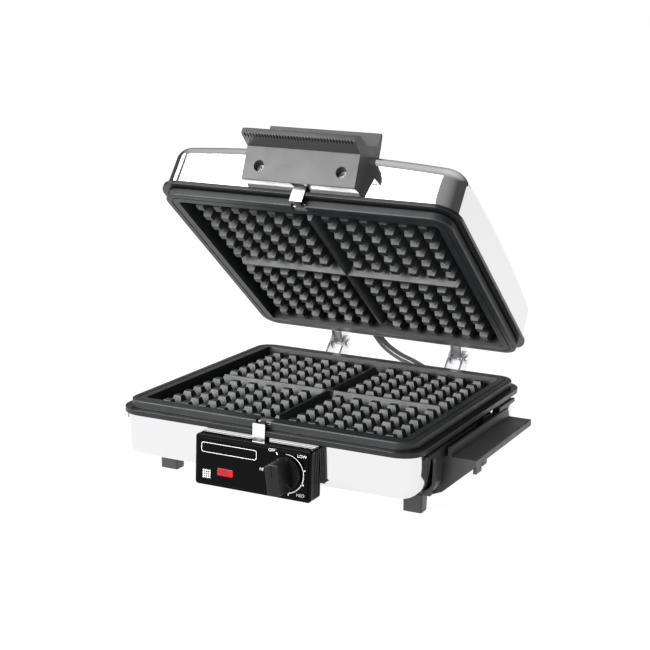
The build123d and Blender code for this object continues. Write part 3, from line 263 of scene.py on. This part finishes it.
# ---------------------------------------------------------------- materials
# Colours are linear, and sizes and depths are in metres.
def polished_shell():
    paint = Paint("polished_shell", (0.78, 0.78, 0.79), roughness=0.06, metallic=1.0)
    paint.vary_roughness(size=0.03, low=0.035, high=0.09)
    return paint.grain(size=0.11, depth=0.00006, detail=1.0).material


def bright_steel():
    paint = Paint("bright_steel", (0.86, 0.86, 0.87), roughness=0.3, metallic=1.0)
    paint.vary_roughness(size=0.004, low=0.24, high=0.38)
    return paint.grain(size=0.0012, depth=0.00002).material


def zinc_steel():
    paint = Paint("zinc_steel", (0.55, 0.55, 0.57), roughness=0.3, metallic=1.0)
    paint.vary_roughness(size=0.002, low=0.22, high=0.4)
    return paint.grain(size=0.0006, depth=0.00002).material


def nonstick_coat():
    paint = Paint("nonstick_coat", (0.015, 0.015, 0.016), roughness=0.38, specular_ior_level=0.4)
    paint.vary_colour(size=0.02, first=(0.012, 0.013, 0.014), second=(0.018, 0.019, 0.020))
    paint.vary_roughness(size=0.012, low=0.32, high=0.44)
    return paint.grain(size=0.0006, depth=0.00003).material


def frame_black():
    paint = Paint("frame_black", (0.009, 0.009, 0.010), roughness=0.3, specular_ior_level=0.35)
    paint.vary_roughness(size=0.01, low=0.24, high=0.36)
    return paint.grain(size=0.0008, depth=0.00002).material


def moulded_black():
    paint = Paint("moulded_black", (0.034, 0.036, 0.034), roughness=0.4, specular_ior_level=0.5)
    paint.vary_roughness(size=0.015, low=0.33, high=0.46)
    return paint.grain(size=0.0005, depth=0.00003).material


def knob_black():
    paint = Paint("knob_black", (0.008, 0.008, 0.008), roughness=0.3, specular_ior_level=0.2)
    paint.vary_roughness(size=0.004, low=0.26, high=0.36)
    return paint.grain(size=0.0005, depth=0.00002).material


def gloss_black():
    paint = Paint("gloss_black", (0.0015, 0.0015, 0.0016), roughness=0.12, specular_ior_level=0.07)
    paint.vary_roughness(size=0.02, low=0.08, high=0.16)
    return paint.grain(size=0.03, depth=0.00003, detail=1.0).material


def red_lens():
    paint = Paint("red_lens", (0.36, 0.006, 0.014), roughness=0.2, specular_ior_level=0.3)
    paint.vary_colour(size=0.006, first=(0.28, 0.004, 0.010), second=(0.42, 0.010, 0.022))
    return paint.grain(size=0.0016, depth=0.00006).material


def lamp_glass():
    paint = Paint("lamp_glass", (0.95, 0.75, 0.6), roughness=0.05, transmission_weight=0.9)
    return paint.vary_roughness(size=0.002, low=0.03, high=0.1).material


def heater_sheath():
    paint = Paint("heater_sheath", (0.2, 0.19, 0.18), roughness=0.4, metallic=1.0)
    paint.vary_colour(size=0.02, first=(0.14, 0.13, 0.13), second=(0.27, 0.25, 0.23))
    paint.vary_roughness(size=0.01, low=0.35, high=0.55)
    return paint.grain(size=0.001, depth=0.00003).material


def ceramic():
    paint = Paint("ceramic", (0.82, 0.79, 0.71), roughness=0.55)
    paint.vary_colour(size=0.006, first=(0.78, 0.74, 0.65), second=(0.86, 0.83, 0.76))
    return paint.grain(size=0.0006, depth=0.00003).material


def plain_sheet():
    paint = Paint("plain_sheet", (0.66, 0.66, 0.67), roughness=0.28, metallic=1.0)
    paint.vary_roughness(size=0.02, low=0.22, high=0.38)
    return paint.grain(size=0.0006, depth=0.00002, stretch=(0.05, 1, 1)).material


def phenolic():
    paint = Paint("phenolic", (0.16, 0.07, 0.035), roughness=0.45)
    paint.vary_colour(size=0.004, first=(0.13, 0.055, 0.03), second=(0.2, 0.09, 0.045))
    return paint.grain(size=0.0005, depth=0.00003).material


def turned_brass():
    paint = Paint("turned_brass", (0.75, 0.55, 0.25), roughness=0.25, metallic=1.0)
    return paint.vary_roughness(size=0.002, low=0.2, high=0.34).material


def wire_braid():
    paint = Paint("wire_braid", (0.7, 0.68, 0.62), roughness=0.7)
    paint.vary_colour(size=0.002, first=(0.62, 0.6, 0.54), second=(0.78, 0.76, 0.7))
    return paint.grain(size=0.0004, depth=0.00008).material


def conduit_rubber():
    paint = Paint("conduit_rubber", (0.06, 0.06, 0.062), roughness=0.28, specular_ior_level=0.8)
    paint.vary_roughness(size=0.006, low=0.16, high=0.3)
    return paint.grain(size=0.003, depth=0.00004).material


PAINTS = {
    "polished_shell": polished_shell,
    "bright_steel": bright_steel,
    "screw_steel": zinc_steel,
    "nonstick_cast_plate": nonstick_coat,
    "black_frame": frame_black,
    "black_plastic": moulded_black,
    "gloss_black": gloss_black,
    "red_lens": red_lens,
    "lamp_glass": lamp_glass,
    "heater_sheath": heater_sheath,
    "ceramic": ceramic,
    "reflector_sheet": plain_sheet,
    "cover_sheet": plain_sheet,
    "thermostat_body": phenolic,
    "shaft_steel": zinc_steel,
    "nut_brass": turned_brass,
    "fuse_case": plain_sheet,
    "wire_sleeve": wire_braid,
    "conduit_rubber": conduit_rubber,
}


MADE_MATERIALS = {}

# Edges are rounded by these widths in metres, where two faces meet at more than the angle in degrees.
MOULDED_EDGE = 0.0004
MOULDED_PARTS = ("lid_handle", "left_side_handle", "right_side_handle")
THIN_EDGE = 0.0002
THIN_EDGED_PARTS = ("left_side_rail", "right_side_rail", "control_panel")
EDGE_ANGLE = 40
EDGE_SEGMENTS = 2
WELD_DISTANCE = 0.000002


def finish_of(slot):
    """The material for one of the record's slots, made once."""
    maker = PAINTS[slot]
    if maker not in MADE_MATERIALS:
        MADE_MATERIALS[maker] = maker()
    return MADE_MATERIALS[maker]


def paint_nodes():
    """Gives every CAD node its slot's material, but the knob a darker and glossier one."""
    slots = {row["node"]: row["material_slot"] for row in frame["record"]["subparts"]}
    for name, node in NODES.items():
        node.data.materials.clear()
        is_knob = name == "temperature_knob"
        node.data.materials.append(knob_black() if is_knob else finish_of(slots[name]))


def soften_edges(names, width):
    """Rounds the sharp edges of CAD nodes by a small width, with modifiers."""
    for name in names:
        weld = NODES[name].modifiers.new("weld", "WELD")
        weld.merge_threshold = WELD_DISTANCE
        bevel = NODES[name].modifiers.new("soft_edges", "BEVEL")
        bevel.width = width
        bevel.segments = EDGE_SEGMENTS
        bevel.limit_method = "ANGLE"
        bevel.angle_limit = math.radians(EDGE_ANGLE)
        bevel.harden_normals = True


# ---------------------------------------------------------------- print on the dial face
DIAL_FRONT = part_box("dial_face")[0][1]
DIAL_CENTRE = JOINTS["temperature_dial"]["pos_m"]
PRINT_LIFT = 0.00004

# Angles are in degrees, clockwise from the top of the knob.
SCALE_RADIUS = 0.0142
SCALE_START = 0.0
SCALE_END = 172.0
SCALE_STEPS = 48
SCALE_THINNEST = 0.0002
SCALE_WIDENING = 0.0008
TICK_LENGTH = 0.0022
TICK_HALF_ANGLE = 1.5
TICKS = (-27.6, 75.0, 115.0, 170.0)
LABEL_RADIUS = 0.0192
LABEL_SIZE = 0.0032
LABELS = {"OFF": -36.0, "LOW": 42.0, "MED": 140.0, "HI": 270.0}

# The badge frame's sides are measured from the dial face's left and top edges.
BADGE_LEFT = 0.0035
BADGE_RIGHT = 0.0490
BADGE_TOP = 0.0035
BADGE_BOTTOM = 0.0110
BADGE_LINE = 0.0004
BADGE_CORNER = 0.0018

# The icon starts at this distance from the dial face's left and bottom edges.
ICON_LEFT = 0.005
ICON_BOTTOM = 0.004
ICON_SQUARE = 0.0012
ICON_GAP = 0.0005
ICON_COUNT = 4


def print_paint():
    """The white ink of the scale, labels, badge frame and icon."""
    paint = Paint("white_print", (0.82, 0.82, 0.82), roughness=0.5)
    paint.vary_colour(size=0.001, first=(0.78, 0.78, 0.78), second=(0.86, 0.86, 0.86))
    return paint.material


def on_dial(angle, radius):
    """A point on the dial face at an angle and a distance from the knob's centre, as x and z."""
    turn = math.radians(angle)
    return (
        DIAL_CENTRE[0] + radius * math.sin(turn),
        DIAL_CENTRE[2] + radius * math.cos(turn),
    )


def print_strip(name, left, right, paint):
    """A flat printed strip on the dial face between two rows of x and z points."""
    lift = DIAL_FRONT - PRINT_LIFT
    points = [(x, lift, z) for x, z in left] + [(x, lift, z) for x, z in right]
    count = len(left)
    faces = [(i, i + 1, count + i + 1, count + i) for i in range(count - 1)]
    mesh = bpy.data.meshes.new(name)
    mesh.from_pydata(points, [], faces)
    mesh.materials.append(paint)
    piece = bpy.data.objects.new(name, mesh)
    bpy.context.scene.collection.objects.link(piece)
    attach(piece, "base")


def print_scale(paint):
    """The heat scale: an arc that widens clockwise, with ticks that stand out from it."""
    inner, outer = [], []
    for step in range(SCALE_STEPS + 1):
        part = step / SCALE_STEPS
        angle = SCALE_START + (SCALE_END - SCALE_START) * part
        inner.append(on_dial(angle, SCALE_RADIUS))
        outer.append(on_dial(angle, SCALE_RADIUS + SCALE_THINNEST + SCALE_WIDENING * part))
    print_strip("heat_scale", inner, outer, paint)
    for number, angle in enumerate(TICKS):
        low, high = angle - TICK_HALF_ANGLE, angle + TICK_HALF_ANGLE
        near, far = SCALE_RADIUS, SCALE_RADIUS + TICK_LENGTH
        left = [on_dial(low, near), on_dial(low, far)]
        right = [on_dial(high, near), on_dial(high, far)]
        print_strip(f"tick_{number}", left, right, paint)


def print_label(label, paint):
    """One setting's word beside the scale."""
    x, z = on_dial(LABELS[label], LABEL_RADIUS)
    text = bpy.data.curves.new(f"label_{label.lower()}", "FONT")
    text.body = label
    text.size = LABEL_SIZE
    text.align_x = "CENTER"
    text.align_y = "CENTER"
    text.materials.append(paint)
    piece = bpy.data.objects.new(text.name, text)
    piece.location = (x, DIAL_FRONT - PRINT_LIFT, z)
    piece.rotation_euler = (math.pi / 2, 0, 0)
    bpy.context.scene.collection.objects.link(piece)
    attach(piece, "base")


def rounded_outline(low, high, corner, steps=6):
    """The points round a rectangle with rounded corners, closed, as x and z."""
    points = []
    centres = (
        (high[0] - corner, high[1] - corner),
        (low[0] + corner, high[1] - corner),
        (low[0] + corner, low[1] + corner),
        (high[0] - corner, low[1] + corner),
    )
    for quarter, (x, z) in enumerate(centres):
        for step in range(steps + 1):
            turn = (quarter + step / steps) * math.pi / 2
            points.append((x + corner * math.cos(turn), z + corner * math.sin(turn)))
    return points + points[:1]


def print_badge(paint):
    """An empty rounded frame at the top left of the dial face."""
    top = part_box("dial_face")[1][2]
    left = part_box("dial_face")[0][0]
    low = (left + BADGE_LEFT, top - BADGE_BOTTOM)
    high = (left + BADGE_RIGHT, top - BADGE_TOP)
    inner_low = (low[0] + BADGE_LINE, low[1] + BADGE_LINE)
    inner_high = (high[0] - BADGE_LINE, high[1] - BADGE_LINE)
    outer = rounded_outline(low, high, BADGE_CORNER)
    inner = rounded_outline(inner_low, inner_high, BADGE_CORNER - BADGE_LINE)
    print_strip("badge_frame", outer, inner, paint)


def print_grid_icon(paint):
    """A small icon of a waffle at the bottom left: a square of small squares."""
    low_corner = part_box("dial_face")[0]
    for column in range(ICON_COUNT):
        for row in range(ICON_COUNT):
            x = low_corner[0] + ICON_LEFT + column * (ICON_SQUARE + ICON_GAP)
            z = low_corner[2] + ICON_BOTTOM + row * (ICON_SQUARE + ICON_GAP)
            left = [(x, z), (x, z + ICON_SQUARE)]
            right = [(x + ICON_SQUARE, z), (x + ICON_SQUARE, z + ICON_SQUARE)]
            print_strip(f"icon_{column}_{row}", left, right, paint)


# ---------------------------------------------------------------- conduit between base and lid
CONDUIT_DIAMETER = 0.0075
CONDUIT_SIDES = 24

# Each turn of the route is rounded over this share of its shorter run, in this many steps.
TURN_SHARE = 0.45
TURN_STEPS = 8

# The route's points from the lid's bush to the base's, in millimetres.
CONDUIT_ROUTE = [
    Vector(point) / 1000
    for point in (
        (-26.0, 136.83, 95.48),
        (-26.0, 144.12, 90.2),
        (-24.5, 145.8, 80.0),
        (-15.0, 146.2, 68.5),
        (-1.0, 146.1, 60.5),
        (13.5, 145.8, 56.0),
        (26.5, 143.0, 51.5),
        (35.5, 138.5, 46.5),
        (38.0, 129.29, 42.0),
        (38.0, 120.29, 42.0),
    )
]


def smooth_route(corners):
    """The route's points joined by straight runs, with each turn between two runs rounded."""
    points = [corners[0]]
    for before, here, after in zip(corners, corners[1:], corners[2:]):
        ease = TURN_SHARE * min((here - before).length, (after - here).length)
        start = here + (before - here).normalized() * ease
        end = here + (after - here).normalized() * ease
        for step in range(TURN_STEPS + 1):
            part = step / TURN_STEPS
            rest = 1 - part
            points.append(start * rest**2 + here * 2 * part * rest + end * part * part)
    points.append(corners[-1])
    return points


def tube(name, path, radius, sides):
    """A closed tube mesh along a path."""
    vertices, faces = [], []
    across = Vector((1, 0, 0))
    for index, centre in enumerate(path):
        before, after = path[max(index - 1, 0)], path[min(index + 1, len(path) - 1)]
        ahead = (after - before).normalized()
        across = (across - ahead * across.dot(ahead)).normalized()
        other = ahead.cross(across)
        for side in range(sides):
            turn = 2 * math.pi * side / sides
            vertices.append(centre + radius * (math.cos(turn) * across + math.sin(turn) * other))
    for ring in range(len(path) - 1):
        for side in range(sides):
            here, there = ring * sides, (ring + 1) * sides
            following = (side + 1) % sides
            faces.append((here + side, here + following, there + following, there + side))
    faces.append(tuple(reversed(range(sides))))
    faces.append(tuple(range((len(path) - 1) * sides, len(path) * sides)))
    mesh = bpy.data.meshes.new(name)
    mesh.from_pydata(vertices, [], faces)
    for face in mesh.polygons[:-2]:
        face.use_smooth = True
    piece = bpy.data.objects.new(name, mesh)
    bpy.context.scene.collection.objects.link(piece)
    return piece


def add_conduit():
    """The hose with the lid's wires."""
    path = smooth_route(CONDUIT_ROUTE)
    hose = tube("conduit_hose", path, CONDUIT_DIAMETER / 2, CONDUIT_SIDES)
    hose.data.materials.append(finish_of("conduit_rubber"))
    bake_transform(hose)
    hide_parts("lid_conduit")


def add_studio():
    """The camera, the backdrop, the floor and the soft lights."""
    add_camera()
    add_world()
    add_floor()
    for softbox in SOFTBOXES:
        add_softbox(*softbox)
    bpy.context.scene.view_settings.view_transform = "Standard"


def print_dial():
    """All the print on the dial face, in one white ink."""
    ink = print_paint()
    print_scale(ink)
    for label in LABELS:
        print_label(label, ink)
    print_badge(ink)
    print_grid_icon(ink)


add_studio()
paint_nodes()
soften_edges(MOULDED_PARTS, MOULDED_EDGE)
soften_edges(THIN_EDGED_PARTS, THIN_EDGE)
print_dial()
add_conduit()
